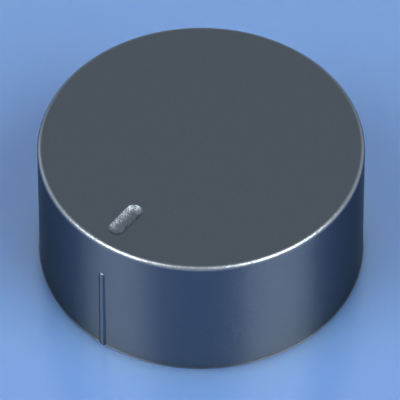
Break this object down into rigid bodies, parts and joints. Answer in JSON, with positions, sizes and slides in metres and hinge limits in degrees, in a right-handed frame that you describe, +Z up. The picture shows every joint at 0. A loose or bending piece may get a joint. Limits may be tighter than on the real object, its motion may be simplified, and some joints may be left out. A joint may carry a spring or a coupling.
{
  "type": "stove knob",
  "caption": "Short round stove knob with a flat top, a pointer dimple, a pointer rib on its wall and a split hub that grips a D-shaped tap shaft.",
  "frame": {"origin": "middle of the base rim, in the plane that the knob stands on", "axes": "+Z up along the shaft's axis and out of the flat top, -Y towards the pointer dimple and rib"},
  "size_m": [0.042, 0.0422, 0.019],
  "materials": {
    "satin_lacquered_moulding": "satin",
    "spring_steel": "satin"
  },
  "bodies": {
    "root": {"knob_shell": "satin_lacquered_moulding", "shaft_spring_band": "spring_steel"}
  },
  "joints": []
}
